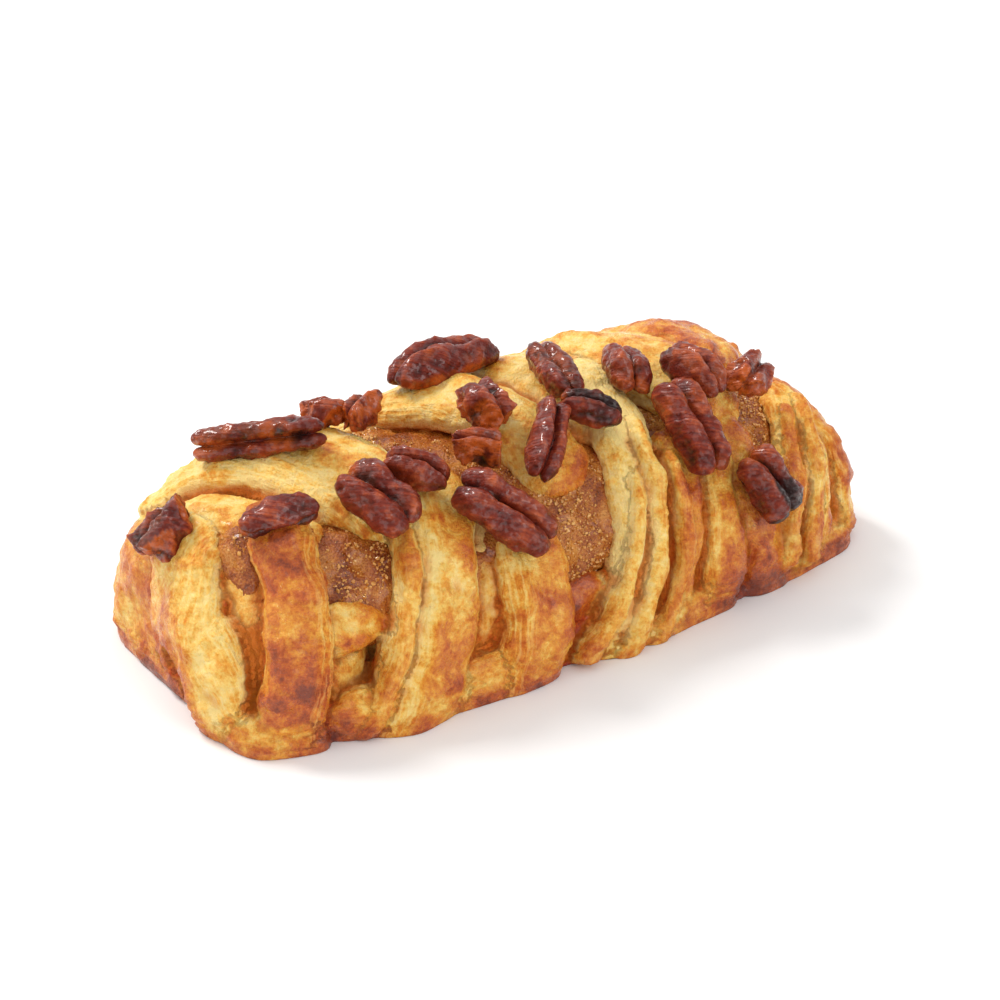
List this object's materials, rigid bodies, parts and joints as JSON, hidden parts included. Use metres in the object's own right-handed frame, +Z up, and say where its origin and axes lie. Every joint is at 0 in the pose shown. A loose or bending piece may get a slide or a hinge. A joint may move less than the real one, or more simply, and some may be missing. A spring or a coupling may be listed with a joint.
{
  "type": "danish plait",
  "caption": "Baked loaf of laminated dough strips folded in a herringbone over a sugar and nut filling, topped with scattered pecan halves and pieces.",
  "frame": {"origin": "on the table under the middle of the loaf's box", "axes": "+X along the loaf, +Y across it away from the side the picture shows, +Z up"},
  "size_m": [0.1712, 0.0926, 0.0564],
  "materials": {
    "dough": "baked egg-washed crust, satin",
    "filling": "sticky sugar and nut paste",
    "pecan": "glazed nut, glossy"
  },
  "bodies": {
    "root": {"dough": "dough", "filling": "filling", "pecan_01": "pecan", "pecan_02": "pecan", "pecan_03": "pecan", "pecan_04": "pecan", "pecan_05": "pecan", "pecan_06": "pecan", "pecan_07": "pecan", "pecan_08": "pecan", "pecan_09": "pecan", "pecan_10": "pecan", "pecan_11": "pecan", "pecan_12": "pecan", "pecan_13": "pecan", "pecan_14": "pecan", "pecan_15": "pecan", "pecan_16": "pecan", "pecan_17": "pecan", "pecan_18": "pecan", "pecan_19": "pecan", "pecan_20": "pecan", "pecan_21": "pecan", "pecan_22": "pecan"}
  },
  "joints": []
}
